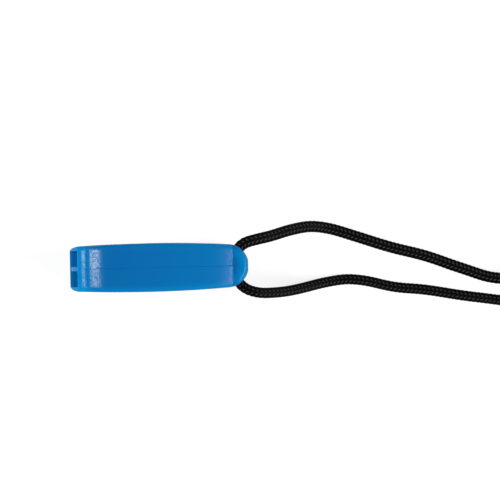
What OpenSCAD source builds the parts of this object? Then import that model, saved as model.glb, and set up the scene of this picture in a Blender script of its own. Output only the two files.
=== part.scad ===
// Flat two-tone whistle without a pea, lying on its narrow side, with a looped braided cord.
// The mouth points to -X, the lug to +X, the wide faces to +Y and -Y, and +Z is up.

/* [Whistle] */
// Length from the mouth to the tip of the lug
whistle_l = 50; // [48:0.5:54]
// Width across the two narrow sides, which is the height as it lies
whistle_w = 24; // [23:0.5:28]
// Thickness at the crown of the wide faces
whistle_t = 13.7; // [12.8:0.1:15]
// Distance from the mouth to the thickest place
crown_s = 22.5; // [20:0.5:27]
// How much each wide face falls from the crown to the mouth
front_fall = 0.6; // [0.3:0.02:0.66]
// How much each wide face falls from the crown to the nose
rear_fall = 0.8; // [0.4:0.02:1]
// Height of the crown across each wide face
cross_crown = 0.1; // [0.05:0.05:0.4]
// Radius of the long rounded edges
edge_r = 1.1; // [0.6:0.1:1.4]
// Depth of the groove along the seam
seam_d = 0.12; // [0.08:0.02:0.2]

/* [Mouthpiece] */
// Width across the mouthpiece and its neck
neck_w = 21.2; // [19.6:0.2:22]
// Radius of the curved front of the mouth
mouth_r = 17; // [16.5:0.5:24]
// Length over which the wide faces round down to the mouth
mouth_round_l = 3; // [2:0.1:3.4]
// Height of that rounding
mouth_round_h = 1.55; // [1:0.05:1.6]
// How much each slot opens towards the mouth
mouth_open = 0.1; // [0.05:0.05:0.15]
// Length of plain lip in front of the bite ridge
lip_l = 3.8; // [3.7:0.1:4.2]
// Length of the ramp of the bite ridge
ridge_l = 1.2; // [1:0.1:1.5]
// Height of the bite ridge on each narrow side
ridge_h = 0.5; // [0.3:0.05:0.6]
// Length of the flat top of the bite ridge
ridge_top_l = 0.1; // [0.08:0.02:0.3]
// Length of the slope behind the bite ridge
ridge_back_l = 0.7; // [0.3:0.1:1]
// Length of the groove behind that slope
groove_l = 0.3; // [0.2:0.1:0.8]
// Length of the flare from the neck to the full width
flare_l = 4.6; // [3.6:0.2:6]

/* [Rear and lug] */
// Length of the shoulders that narrow towards the lug
shoulder_l = 9.2; // [7:0.2:11]
// How much each shoulder draws in
shoulder_in = 1.45; // [0.8:0.05:2]
// Length of the lug behind the body
lug_l = 4.1; // [3.8:0.1:5]
// Width of the lug
lug_w = 8.4; // [7.6:0.2:11]
// Radius of the edge round the lug
lug_edge_r = 1.1; // [0.8:0.1:1.4]
// Radius of the hole for the cord
lug_hole_r = 2.25; // [2.1:0.05:2.3]
// Wall between that hole and the tip
lug_tip_wall = 1.1; // [1:0.05:1.6]
// Length of the rounded nose, seen on the narrow side
nose_l = 4.8; // [4.4:0.1:6]

/* [Walls and chambers] */
// Wall of a wide face at the crown
roof_wall = 1.9; // [1.8:0.1:2.2]
// Wall of a narrow side at the mouthpiece
lip_wall = 1.3; // [1.2:0.05:1.5]
// Wall of a narrow side along the chambers
side_wall = 1.6; // [1.2:0.1:2.2]
// Distance from the lug tip to the end of the upper chamber, which gives the lower tone
upper_back_l = 12; // [11.6:0.1:17]
// Distance from the lug tip to the end of the lower chamber, which gives the higher tone
lower_back_l = 14.3; // [12:0.1:19]
// Distance from the mouth to the window
windway_l = 13; // [12:0.2:14]
// Length of the window in each wide face
window_l = 4.5; // [4.4:0.1:5]
// Width of the window
window_w = 17.2; // [14:0.2:18]
// Distance from the roof down to the sounding edge
edge_drop = 0.5; // [0.4:0.05:0.7]
// Thickness of the sounding edge
edge_t = 0.2; // [0.15:0.05:0.3]
// Length of the slope under the sounding edge
under_l = 3; // [2:0.2:4]
// Angle of the slope above the sounding edge
bevel_a = 28; // [24:1:36]

/* [Core] */
// Thickness of the wall between the two chambers
septum_t = 1.15; // [1:0.05:1.3]
// Width of the ledge that holds the edge of that wall
ledge_w = 0.4; // [0.3:0.05:0.5]
// Thickness of the rib up the middle of the mouth
rib_t = 1.2; // [1:0.1:1.6]
// Distance from the mouth to the foot of the ramps
ramp_s = 4.6; // [4.5:0.1:5.5]
// Length of the ramps
ramp_l = 5.5; // [4:0.1:6.5]
// Height of the slit above the ramps
slit_h = 1.2; // [1:0.05:1.4]
// Length of septum that is held behind the longer chamber
tail_l = 1.5; // [1:0.1:1.8]
// Distance that the wall stands back from the front of the mouth
core_back = 0.45; // [0.3:0.05:0.6]
// Distance that the rib stands back from the front of the mouth
rib_back = 0.1; // [0.05:0.05:0.25]
// Free play of the core in the shells
core_fit = 0.05; // [0.04:0.01:0.08]

/* [Pegs of the lower shell] */
// Radius of a peg
peg_r = 1; // [0.8:0.1:1.2]
// Height of a peg above the seam
peg_h = 1.4; // [1:0.1:2]
// Distance from the lug tip to the pegs
peg_back = 8.4; // [8.2:0.1:8.6]
// Distance between the two pegs
peg_gap = 12; // [10:0.5:15]
// Free play of a peg in its socket
peg_fit = 0.05; // [0.04:0.01:0.1]

/* [Cord] */
// Diameter of the braided cord
cord_d = 3.1; // [2.6:0.1:3.2]

/* [Hank of put-away cord] */
// Place of the centre of the folds nearer the whistle
hank_x = 143; // [140:0.5:150]
// Length of the straight runs
run_l = 50; // [45:1:60]
// Radius of the tightest fold
fold_r = 9.3; // [8.5:0.1:10]
// Sideways step from one turn to the next
turn_step = 3.75; // [3.7:0.05:4]
// Upward step from one layer to the next
layer_step = 3.6; // [3.6:0.05:4]
// Height of the middle of the lowest cord
cord_z = 1.6; // [1.6:0.05:2]
// How far the runs are drawn in at the waist
waist_in = 6; // [4:0.25:6.5]
// How far the tie lifts the runs at the waist
waist_lift = 1.1; // [1:0.05:1.4]

/* [Tie of the hank] */
// Width of the elastic tie
tie_w = 3; // [2:0.5:3]
// Thickness of the tie
tie_t = 0.7; // [0.5:0.05:0.7]
// Play between the tie and the cord
tie_fit = 0.3; // [0.25:0.05:0.3]

/* [Knot] */
// Radius of the wraps, measured to the middle of the cord
wrap_r = 3.3; // [3.25:0.05:3.6]
// Step from wrap to wrap
wrap_step = 3.6; // [3.6:0.05:4]
// Length by which each short end leaves the wraps
end_l = 5; // [4:0.5:7]

/* [Hidden] */
shell_colour = [0.0, 0.42, 0.68];
core_colour = [0.08, 0.47, 0.74];
cord_colour = [0.06, 0.06, 0.065];
tie_colour = [0.12, 0.12, 0.13];

// One overrun serves every cut
cut = 1;
half_t = whistle_t / 2;
half_w = whistle_w / 2;
neck = neck_w / 2;
roof_y = half_t - roof_wall;
septum_y = septum_t / 2;
slot_w = neck - lip_wall;
chamber_w = half_w - side_wall;
window_s = windway_l + window_l;
upper_end_s = whistle_l - upper_back_l;
lower_end_s = whistle_l - lower_back_l;
tail_s = max(upper_end_s, lower_end_s) + tail_l;

// Shares that shape the outline
flare_shares = [0.12, 0.25, 0.4, 0.56, 0.75, 1];
shoulder_shares = [0.2, 0.4, 0.6, 0.8, 0.94];
flat_shares = [0.125, 0.25, 0.375, 0.5, 0.625, 0.75, 0.875, 1];
lip_shares = [0.1, 0.25, 0.45, 0.7, 1];
nose_shares = [0.25, 0.5, 0.75];
tip_angles = [0, 15, 30, 45, 60, 75, 90];
step_share = 0.035;
step_root_share = 0.1;
foot_share = 0.12;
blunt_share = 0.98;
edge_share = 0.6;
nose_power = 2.2;
arc_steps = 5;
crown_steps = 6;

// Places along the whistle, measured from the mouth
ridge_s = lip_l + ridge_l;
groove_s = ridge_s + ridge_top_l + ridge_back_l;
flare_s = groove_s + groove_l;
full_s = flare_s + flare_l;
rear_s = whistle_l - lug_l;
shoulder_s = rear_s - shoulder_l;
nose_s = whistle_l - nose_l;
tip_s = whistle_l - lug_edge_r;
foot_s = rear_s + lug_l * foot_share;
hole_s = whistle_l - lug_tip_wall - lug_hole_r;
taper_s = ramp_s + ramp_l;
lead_l = ridge_top_l;
lug_half = lug_w / 2;
rear_half = half_w - shoulder_in;

// Half the width along the whistle, as pairs of place and half width
width_table = concat(
    [[-lead_l, neck], [lip_l, neck], [ridge_s, neck + ridge_h]],
    [[ridge_s + ridge_top_l, neck + ridge_h], [groove_s, neck], [flare_s, neck]],
    [for (k = flare_shares) [flare_s + flare_l * k, neck + (half_w - neck) * k * (2 - k)]],
    [[shoulder_s, half_w]],
    [for (k = shoulder_shares) [shoulder_s + shoulder_l * k, half_w - shoulder_in * k * k]],
    [[rear_s, rear_half - (rear_half - lug_half) * step_share]],
    [[rear_s + lug_l * step_share, lug_half + (rear_half - lug_half) * step_root_share]],
    [[foot_s, lug_half]],
    [for (a = tip_angles) [tip_s + lug_edge_r * sin(a), lug_half - lug_edge_r + lug_edge_r * cos(a)]]
);
// The stations of the loft are those of the width, and some more where only the thickness changes
stations = concat(
    [-lead_l],
    [for (k = lip_shares) mouth_round_l * k],
    [for (k = [1 : len(width_table) - 1]) if (width_table[k][0] <= full_s) width_table[k][0]],
    [for (k = flat_shares) full_s + (shoulder_s - full_s) * k],
    [for (k = width_table) if (k[0] > shoulder_s && k[0] < tip_s) k[0]],
    [for (k = nose_shares) foot_s + (tip_s - foot_s) * k],
    [for (a = tip_angles) tip_s + lug_edge_r * sin(a)]
);

function blunt_end(k) = sqrt(1 - blunt_share * pow(k, nose_power));
function square_of(k) = k * k;
function face_line(s) = s < crown_s
    ? half_t - front_fall * square_of((crown_s - s) / crown_s)
    : half_t - rear_fall * square_of((s - crown_s) / (nose_s - crown_s));
function mouth_fall(s) = s < mouth_round_l
    ? mouth_round_h * (1 - sqrt(1 - square_of((mouth_round_l - s) / (mouth_round_l + 2 * lead_l))))
    : 0;
function nose_share(s) = s > nose_s ? blunt_end((s - nose_s) / nose_l) : 1;
function thick_at(s) = (face_line(s) - mouth_fall(s)) * nose_share(s);
function wide_at(s) = lookup(s, width_table);

// Half a cross-section, from the seam on one side over the wide face to the seam on the other
function corner(y, z, r, side) = [
    for (k = [0 : arc_steps])
        let (a = side < 0 ? 90 * k / arc_steps : 90 - 90 * k / arc_steps)
            [y + r * sin(a), z + side * r * cos(a)]
];
function half_section(s) =
    let (
        w = wide_at(s),
        crown = cross_crown * w / half_w * nose_share(s),
        h = thick_at(s) - crown,
        r = min(edge_r, edge_share * min(h, w)),
        flat = w - r
    )
    concat(
        [[0, seam_d - w], [seam_d, -w]],
        corner(h - r, -flat, r, -1),
        [
            for (k = [1 : crown_steps - 1])
                let (z = 2 * k / crown_steps - 1) [h + crown * (1 - z * z), flat * z]
        ],
        corner(h - r, flat, r, 1),
        [[seam_d, w], [0, w - seam_d]]
    );
function ring_at(s) = [for (p = half_section(s)) [s, p[0], p[1]]];

// Joins rings of equal count into one closed solid
module loft(rings) {
    n = len(rings[0]);
    last = len(rings) - 1;
    skin = [
        for (i = [0 : last - 1])
            for (j = [0 : n - 1])
                let (a = i * n + j, b = i * n + (j + 1) % n)
                    each [[a, a + n, b], [b, a + n, b + n]]
    ];
    first_end = [[for (j = [0 : n - 1]) j]];
    last_end = [[for (j = [n - 1 : -1 : 0]) last * n + j]];
    polyhedron(points = [for (r = rings) each r], faces = concat(skin, first_end, last_end));
}

// Stands what is drawn around the mouth and the middle of the whistle in its place
module in_place() {
    translate([-whistle_l / 2, 0, half_w]) children();
}

// Carries an outline drawn in length and thickness across the width
module across(half) {
    translate([0, 0, -half]) linear_extrude(height = 2 * half) children();
}

// What the curved front of the mouth takes away
module mouth_front(back) {
    difference() {
        translate([-cut, -whistle_t, -whistle_w])
            cube([cut + mouth_r / 2, 2 * whistle_t, 2 * whistle_w]);
        translate([mouth_r, 0, 0])
            rotate([90, 0, 0])
                cylinder(h = 4 * whistle_t, r = mouth_r - back, center = true, $fn = 180);
    }
}

// The wall that parts the two chambers, wider where the shells are wider
module septum(play) {
    front_half = slot_w + ledge_w + play;
    back_half = chamber_w + ledge_w + play;
    translate([-cut, -septum_y, -front_half])
        cube([cut + windway_l, septum_t, 2 * front_half]);
    translate([windway_l - cut, -septum_y, -back_half])
        cube([cut + tail_s - windway_l + play, septum_t, 2 * back_half]);
}

// The slot and the slit that carry the breath, wider at the mouth
module windway() {
    across(slot_w)
        polygon([
            [-cut, -cut],
            [-cut, roof_y + mouth_open],
            [0, roof_y + mouth_open],
            [taper_s, roof_y],
            [windway_l, roof_y],
            [windway_l, -cut],
        ]);
}

// The chamber, with the sounding edge left standing in its roof
module chamber(end_s) {
    across(chamber_w)
        polygon([
            [windway_l, -cut],
            [windway_l, roof_y],
            [window_s, roof_y],
            [window_s, roof_y - edge_drop],
            [window_s + under_l, roof_y],
            [end_s, roof_y],
            [end_s, -cut],
        ]);
}

// The window over the gap between the slit and the sounding edge
module window() {
    rise = half_t + cut - roof_y + edge_drop - edge_t;
    across(window_w / 2)
        polygon([
            [windway_l, roof_y - edge_drop + edge_t],
            [windway_l, half_t + cut],
            [window_s + rise / tan(bevel_a), half_t + cut],
            [window_s, roof_y - edge_drop + edge_t],
        ]);
}

module cord_hole() {
    translate([hole_s, 0, 0])
        rotate([90, 0, 0])
            cylinder(h = 2 * whistle_t, r = lug_hole_r, center = true, $fn = 96);
}

// Two round pieces beside the middle, standing on the seam
module pegs(r, h, below) {
    for (side = [-1, 1])
        translate([whistle_l - peg_back, -below, side * peg_gap / 2])
            rotate([-90, 0, 0])
                cylinder(h = h + below, r = r, $fn = 48);
}

// One half of the moulded body, drawn above the seam
module half_shell(end_s) {
    difference() {
        loft([for (s = stations) ring_at(s)]);
        mouth_front(0);
        septum(core_fit);
        windway();
        chamber(end_s);
        window();
        cord_hole();
    }
}

module upper_shell() {
    color(shell_colour)
        in_place()
            difference() {
                half_shell(upper_end_s);
                pegs(peg_r + peg_fit, peg_h + 2 * peg_fit, cut);
            }
}

module lower_shell() {
    color(shell_colour)
        in_place()
            union() {
                mirror([0, 1, 0]) half_shell(lower_end_s);
                pegs(peg_r, peg_h, cut);
            }
}

// A ramp that lifts the breath to the slit, on one face of the septum
module ramp() {
    top = roof_y - slit_h;
    across(slot_w - core_fit)
        polygon([[ramp_s, 0], [ramp_s, septum_y], [ramp_s + ramp_l, top], [windway_l, top], [windway_l, 0]]);
}

// The rib holds up the roof where the teeth press on it, and its front follows the mouth
module mouth_rib() {
    mouth_half = roof_y + mouth_open - core_fit;
    slit_half = roof_y - core_fit;
    across(rib_t / 2)
        polygon([
            [0, -mouth_half],
            [0, mouth_half],
            [taper_s, slit_half],
            [windway_l, slit_half],
            [windway_l, -slit_half],
            [taper_s, -slit_half],
        ]);
}

module centre_core() {
    color(core_colour)
        in_place()
            union() {
                difference() {
                    union() {
                        septum(0);
                        ramp();
                        mirror([0, 1, 0]) ramp();
                    }
                    mouth_front(core_back);
                }
                difference() {
                    mouth_rib();
                    mouth_front(rib_back);
                }
            }
}

// A round tube along points; each ring is turned square to the line, from a direction that it never follows
function unit(v) = v / norm(v);
function heading(p, i) = unit(p[min(i + 1, len(p) - 1)] - p[max(i - 1, 0)]);
function tube_rings(p, away, r, sides) = [
    for (i = [0 : len(p) - 1])
        let (ahead = heading(p, i), out = unit(cross(ahead, away[i])), up = cross(out, ahead))
            [for (k = [0 : sides - 1]) p[i] + r * (cos(360 * k / sides) * out + sin(360 * k / sides) * up)]
];
module tube(p, sides) {
    loft(tube_rings(p, [for (q = p) [0, 0, 1]], cord_d / 2, sides));
}

// Routes of the free stretches, both from the middle of the cord hole
upper_route = [
    [21, 0, 12], [21.1, 2, 12], [21.8, 3.8, 12], [22.9, 5.3, 12], [24.4, 6.4, 11.9],
    [26.3, 7.1, 11.7], [28.5, 7.6, 11.2], [32, 8.4, 9.6], [35.4, 9.3, 7.8], [38.8, 10.1, 5.7],
    [42.2, 10.6, 3.8], [45.8, 10.4, 2.3], [49.2, 9.7, 1.7], [53, 8.5, 1.6], [58, 6.8, 1.6],
    [63, 5.1, 1.6], [68, 3.6, 1.6], [73, 2.3, 1.6], [78, 0.7, 1.6], [83, -1.2, 1.6],
    [88, -3, 1.6], [93, -4.7, 1.8], [97, -5.4, 2.6], [100.5, -5.2, 3.8], [103.5, -4.4, 4.7],
    [107, -3.2, 4.9], [111.5, -1.6, 4.9],
];
lower_route = [
    [21, 0, 12], [21.2, -2, 12], [21.8, -3.8, 12], [22.8, -5.3, 12], [24.2, -6.5, 11.9],
    [26, -7.3, 11.8], [28.2, -7.8, 11.3], [31.6, -7.9, 9.9], [35, -7.7, 8], [38.4, -7.2, 6],
    [41.8, -6.5, 4], [45.4, -5.7, 2.5], [48.8, -5.1, 1.7], [53, -4.7, 1.6], [56, -4.9, 1.6],
    [59.5, -5.5, 1.6], [63, -6.4, 1.6], [68, -7.4, 1.6], [73, -7.9, 1.6], [79, -8.8, 1.6],
    [85, -9.9, 1.6], [91, -10.8, 1.6], [97, -11.7, 1.6], [104, -12.7, 1.6], [112, -13.3, 1.6],
    [122, -13.5, 1.6], [132, -13.5, 1.6], [139, -13.5, 1.6], [143, -13.5, 1.6],
];
return_route = [
    [143, 11.6, 12.4], [139, 11.6, 12.4], [135, 10.7, 12.4], [131.5, 8.8, 12.3], [128.5, 6.7, 11.3],
    [126, 4.9, 9.5], [123.8, 3.4, 7.4], [121.5, 2.1, 5.7], [118.5, 0.9, 4.9], [115, -0.4, 4.9],
    [111.5, -1.6, 4.9],
];

module upper_strand() {
    color(cord_colour) tube(upper_route, 8);
}
module lower_strand() {
    color(cord_colour) tube(lower_route, 8);
}
module return_strand() {
    color(cord_colour) tube(return_route, 8);
}

// The hank lies in layers; its turns narrow and widen again, and it climbs along the runs where they reverse
hank_quarters = 15;
rings_per_quarter = 6;
reversals = [1.125, 2.125, 3.125];
climbing_runs = [4, 8, 12];
widest_r = fold_r + turn_step * reversals[0];
function narrowed(u) =
    u < reversals[0] ? u
    : u < reversals[1] ? 2 * reversals[0] - u
    : u < reversals[2] ? u - reversals[1] + 2 * reversals[0] - reversals[1]
    : reversals[0] - (u - reversals[2]);
function smooth(f) = f * f * (3 - 2 * f);
function bump(f) = (1 - cos(360 * f)) / 2;
function climbed(q, f) =
    len([for (k = climbing_runs) if (k < q) k]) + (len(search(q, climbing_runs)) > 0 ? smooth(f) : 0);
function hank_point(t) =
    let (
        q = min(floor(t), hank_quarters - 1),
        f = t - q,
        kind = q % 4,
        r = widest_r - turn_step * narrowed(t / 4),
        run = kind % 2 == 0,
        drawn = run ? r - waist_in * bump(f) : r,
        z = cord_z + layer_step * climbed(q, f) + (run ? waist_lift * bump(f) : 0),
        flat = kind == 0 ? [run_l * f, -drawn]
            : kind == 1 ? [run_l + r * sin(180 * f), -r * cos(180 * f)]
            : kind == 2 ? [run_l * (1 - f), drawn]
            : [-r * sin(180 * f), r * cos(180 * f)]
    )
    [hank_x + flat[0], flat[1], z];
function hank_points(steps) = [for (k = [0 : hank_quarters * steps]) hank_point(k / steps)];
gap_steps = 20;
steps_apart = gap_steps + rings_per_quarter;

// Least gap between stretches of the hank that are more than a quarter of a turn apart
function least_gap(p, apart) = min([
    for (i = [0 : len(p) - 1 - apart])
        for (j = [i + apart : len(p) - 1]) norm(p[i] - p[j])
]) - cord_d;

function length_of(p) = [for (i = [1 : len(p) - 1]) norm(p[i] - p[i - 1])] * [for (i = [1 : len(p) - 1]) 1];

module cord_hank() {
    echo(hank_gap = least_gap(hank_points(gap_steps), steps_apart));
    echo(hank_length = length_of(hank_points(gap_steps)));
    color(cord_colour) tube(hank_points(rings_per_quarter), 6);
}

// The tie hugs the runs at the waist
module tie_outline(grow) {
    waist_quarters = [0.5, 2.5, 14.5, 12.5, 8.5];
    hull()
        for (t = waist_quarters)
            let (p = hank_point(t))
                translate([p[1], p[2]]) circle(r = cord_d / 2 + grow, $fn = 32);
}
module hank_tie() {
    color(tie_colour)
        translate([hank_x + run_l / 2 - tie_w / 2, 0, 0])
            rotate([90, 0, 90])
                linear_extrude(height = tie_w)
                    difference() {
                        tie_outline(tie_fit + tie_t);
                        tie_outline(tie_fit);
                    }
}

// The knot is wrapped round the two strands that meet in it; each short end eases out along them
knot_middle = [111.5, -1.6, 4.9];
knot_turn = 19.5;
wraps = 3;
ease = 0.5;
wrap_rings = 14;
first_angle = 60;
function eased(u) =
    u < ease ? u * u / (2 * ease)
    : u < wraps + ease ? u - ease / 2
    : wraps + ease - square_of(wraps + 2 * ease - u) / (2 * ease);
function knot_point(u) =
    let (
        turned = eased(u),
        along = wrap_step * (turned - (wraps + ease) / 2) + 2 * end_l * (u - turned - ease / 2),
        a = first_angle + 360 * turned
    )
    [along, wrap_r * cos(a), wrap_r * sin(a)];
function knot_out(u) = let (p = knot_point(u)) [0, p[1], p[2]];
knot_steps = [for (k = [0 : wrap_rings * (wraps + 1)]) k / wrap_rings];

module cord_knot() {
    color(cord_colour)
        translate(knot_middle)
            rotate([0, 0, knot_turn])
                loft(tube_rings(
                    [for (u = knot_steps) knot_point(u)],
                    [for (u = knot_steps) knot_out(u)],
                    cord_d / 2,
                    6
                ));
}

upper_shell();
lower_shell();
centre_core();
upper_strand();
lower_strand();
return_strand();
cord_hank();
hank_tie();
cord_knot();
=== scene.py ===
import math
import bpy
import numpy as np
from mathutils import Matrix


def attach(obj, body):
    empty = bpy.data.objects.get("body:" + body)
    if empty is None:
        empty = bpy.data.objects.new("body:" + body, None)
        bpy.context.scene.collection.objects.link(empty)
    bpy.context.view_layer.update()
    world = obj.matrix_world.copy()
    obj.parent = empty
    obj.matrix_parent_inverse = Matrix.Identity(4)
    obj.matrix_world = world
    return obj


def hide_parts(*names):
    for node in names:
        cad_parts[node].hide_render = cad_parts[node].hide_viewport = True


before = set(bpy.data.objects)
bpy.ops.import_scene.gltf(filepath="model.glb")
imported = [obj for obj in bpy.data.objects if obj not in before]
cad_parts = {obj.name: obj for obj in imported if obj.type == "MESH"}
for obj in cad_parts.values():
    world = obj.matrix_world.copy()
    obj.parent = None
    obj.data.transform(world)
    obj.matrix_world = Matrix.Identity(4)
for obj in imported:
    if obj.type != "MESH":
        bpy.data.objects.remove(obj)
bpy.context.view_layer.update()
mm = 0.001
print("frame loaded")

# The camera looks straight down on the whistle, which lies on its narrow side.
camera = {
    "place": (0.02561, 0.00424, 0.712), "rollDegrees": -1.29, "lens": 179.8, "sensor": 36.0,
    "nearest": 0.05, "furthest": 20.0,
}

cameraData = bpy.data.cameras.new("camera")
cameraData.lens = camera["lens"]
cameraData.sensor_width = camera["sensor"]
cameraData.clip_start = camera["nearest"]
cameraData.clip_end = camera["furthest"]
cameraObject = bpy.data.objects.new("camera", cameraData)
cameraObject.location = camera["place"]
cameraObject.rotation_euler = (0.0, 0.0, math.radians(camera["rollDegrees"]))
bpy.context.scene.collection.objects.link(cameraObject)
bpy.context.scene.camera = cameraObject
bpy.context.scene.view_settings.view_transform = "Standard"


def linear(hexColour):
    # sRGB hex to linear light by the curve of the sRGB standard, with alpha 1
    parts = np.array([int(hexColour[at:at + 2], 16) for at in (1, 3, 5)]) / 255.0
    light = np.where(parts <= 0.04045, parts / 12.92, ((parts + 0.055) / 1.055) ** 2.4)
    return (*light.tolist(), 1.0)


def addNode(tree, kind, links=None, **settings):
    # adds one node; settings name its properties or its inputs, links map its inputs to sockets
    node = tree.nodes.new(kind)
    for key, value in settings.items():
        if hasattr(node, key):
            setattr(node, key, value)
        else:
            node.inputs[key.replace("_", " ")].default_value = value
    for key, socket in (links or {}).items():
        tree.links.new(socket, node.inputs[key])
    return node


def newMaterial(name):
    # an empty node tree under a name
    material = bpy.data.materials.new(name)
    material.use_nodes = True
    material.node_tree.nodes.clear()
    return material, material.node_tree


# Meshes from whole arrays

def addPiece(name, points, faces, uv=None, relief=None):
    # points in metres, faces as lists of point numbers; uv and relief have one entry for each point
    mesh = bpy.data.meshes.new(name)
    mesh.from_pydata(points.tolist(), [], faces)
    if relief is not None:
        mesh.attributes.new("relief", "FLOAT", "POINT").data.foreach_set("value", relief)
    if uv is not None:
        corners = np.empty(len(mesh.loops), dtype=np.int32)
        mesh.loops.foreach_get("vertex_index", corners)
        layer = mesh.uv_layers.new(name="UVMap")
        layer.data.foreach_set("uv", uv[corners].astype(np.float32).ravel())
    mesh.polygons.foreach_set("use_smooth", np.ones(len(mesh.polygons), dtype=bool))
    mesh.update()
    piece = bpy.data.objects.new(name, mesh)
    bpy.context.scene.collection.objects.link(piece)
    return piece


def gridFaces(rows, columns):
    # quads of a grid whose columns close on themselves, with its two ends capped
    row, column = np.meshgrid(np.arange(rows - 1), np.arange(columns), indexing="ij")
    here = (row * columns + column).ravel()
    beside = (row * columns + (column + 1) % columns).ravel()
    quads = np.stack([here, beside, beside + columns, here + columns], axis=1).tolist()
    firstRing = list(range(columns))[::-1]
    lastRing = list(range((rows - 1) * columns, rows * columns))
    return quads + [firstRing, lastRing]


# The cord

cord = {
    "diameter": 3.1,
    "columns": 8,           # columns of yarn round the braid
    "pickLength": 1.18,     # mm from one pick to the next along a column
    "slant": 0.9,           # how far a pick runs along the cord while it crosses its column
    "pickPower": 0.8,       # below 1 a pick is blunt along the cord, above 1 it is pointed
    "humpPower": 1.6,       # the same across its column
    "relief": 0.17,         # mm from the valleys to the tops of the picks
    "proud": 0.06,          # mm by which the tops of the picks stand out of the nominal diameter
    "flattened": 1.08,      # the upper strand is a little wider than high
    "sides": 48,            # points round a ring
    "longSides": 32,        # the same on the lower strand and the put-away length
    "fineStep": 0.16,       # mm between rings where the cord is seen close
    "fineLength": 88.0,     # mm of the lower strand that are seen close
    "coarseStep": 0.3,      # mm between rings on the put-away length
    "samples": 60,          # points of the smooth curve for each point of its route
    "domeTip": 0.02,        # share of the radius that is left at the very tip of a melted end
    "toldEvery": 4,         # every fourth ring
}

upperRoute = np.array([
    (0.021, 0, 0.012), (0.0211, 0.002, 0.012), (0.0218, 0.0038, 0.012), (0.0229, 0.0053, 0.012),
    (0.0244, 0.0063, 0.0119), (0.0263, 0.0069, 0.0117), (0.0285, 0.0074, 0.0112), (0.032, 0.0082, 0.0096),
    (0.0354, 0.0092, 0.0078), (0.0388, 0.01, 0.0057), (0.0422, 0.0105, 0.0038), (0.0458, 0.0103, 0.0023),
    (0.0492, 0.0096, 0.0017), (0.053, 0.0084, 0.0016), (0.058, 0.0067, 0.0016), (0.063, 0.005, 0.0016),
    (0.068, 0.0035, 0.0016), (0.073, 0.0022, 0.0016), (0.078, 0.0006, 0.0016), (0.083, -0.0013, 0.0016),
    (0.088, -0.0031, 0.0016), (0.093, -0.0048, 0.0018), (0.097, -0.0054, 0.0026), (0.1005, -0.0052, 0.0038),
    (0.1035, -0.0044, 0.0047), (0.107, -0.0032, 0.0049), (0.1115, -0.0016, 0.0049),
])
lowerRoute = np.array([
    (0.021, 0, 0.012), (0.0212, -0.002, 0.012), (0.0218, -0.0038, 0.012), (0.0228, -0.0053, 0.012),
    (0.0242, -0.0065, 0.0119), (0.026, -0.0073, 0.0118), (0.0282, -0.0078, 0.0113), (0.0316, -0.0079, 0.0099),
    (0.035, -0.0077, 0.008), (0.0384, -0.0072, 0.006), (0.0418, -0.0065, 0.004), (0.0454, -0.0057, 0.0025),
    (0.0488, -0.0051, 0.0017), (0.053, -0.0047, 0.0016), (0.056, -0.0049, 0.0016), (0.0595, -0.0055, 0.0016),
    (0.063, -0.0064, 0.0016), (0.068, -0.0074, 0.0016), (0.073, -0.0079, 0.0016), (0.079, -0.0088, 0.0016),
    (0.085, -0.0099, 0.0016), (0.091, -0.0108, 0.0016), (0.097, -0.0117, 0.0016), (0.104, -0.0127, 0.0016),
    (0.112, -0.0133, 0.0016), (0.122, -0.0135, 0.0016), (0.132, -0.0135, 0.0016), (0.139, -0.0135, 0.0016),
])
returnRoute = np.array([
    (0.139, 0.0116, 0.0124), (0.135, 0.0107, 0.0124), (0.1315, 0.0088, 0.0123), (0.1285, 0.0067, 0.0113),
    (0.126, 0.0049, 0.0095), (0.1238, 0.0034, 0.0074), (0.1215, 0.0021, 0.0057), (0.1185, 0.0009, 0.0049),
    (0.115, -0.0004, 0.0049), (0.1115, -0.0016, 0.0049),
])
hank = {
    "nearFoldX": 143.0, "run": 50.0, "tightestFold": 9.3, "turnStep": 3.75, "layerStep": 3.6,
    "lowest": 1.6, "waistIn": 6.0, "waistLift": 1.1,
    "quarters": 15,                       # runs and folds, counted together
    "quarterPoints": 16,                  # points of the route on each run or fold
    "reversals": (1.125, 2.125, 3.125),   # where the folds stop narrowing or widening, in turns
    "climbingRuns": (4, 8, 12),           # the runs along which the cord climbs a layer
}


def hankPoints(count):
    # count goes through runs and folds: even ones are runs, odd ones half circles, and a turn has
    # four. The radius narrows and widens again at a steady rate, and the cord climbs a layer along
    # each run where it reverses.
    quarter = np.minimum(np.floor(count), hank["quarters"] - 1).astype(int)
    share = count - quarter
    kind = quarter % 4
    first, second, third = hank["reversals"]
    turns = count / 4
    inward = np.select(
        [turns < first, turns < second, turns < third],
        [turns, 2 * first - turns, turns - second + 2 * first - second],
        first - (turns - third))
    radius = hank["tightestFold"] + hank["turnStep"] * (first - inward)
    bump = np.where(kind % 2 == 0, (1 - np.cos(2 * np.pi * share)) / 2, 0)
    drawn = radius - hank["waistIn"] * bump
    climbs = np.array(hank["climbingRuns"])
    climb = np.where(np.isin(quarter, climbs), share * share * (3 - 2 * share), 0)
    layer = (quarter[:, None] > climbs).sum(1) + climb
    turn = np.pi * share
    x = np.select(
        [kind == 0, kind == 1, kind == 2],
        [hank["run"] * share, hank["run"] + radius * np.sin(turn), hank["run"] * (1 - share)],
        -radius * np.sin(turn))
    y = np.select(
        [kind == 0, kind == 1, kind == 2],
        [-drawn, -radius * np.cos(turn), drawn],
        radius * np.cos(turn))
    z = hank["lowest"] + hank["layerStep"] * layer + hank["waistLift"] * bump
    return np.stack([hank["nearFoldX"] + x, y, z], axis=1) * mm


def distanceAlong(line):
    # the way run from the first point to each point of a line
    steps = np.linalg.norm(np.diff(line, axis=0), axis=1)
    return np.concatenate([[0], np.cumsum(steps)])


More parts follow.
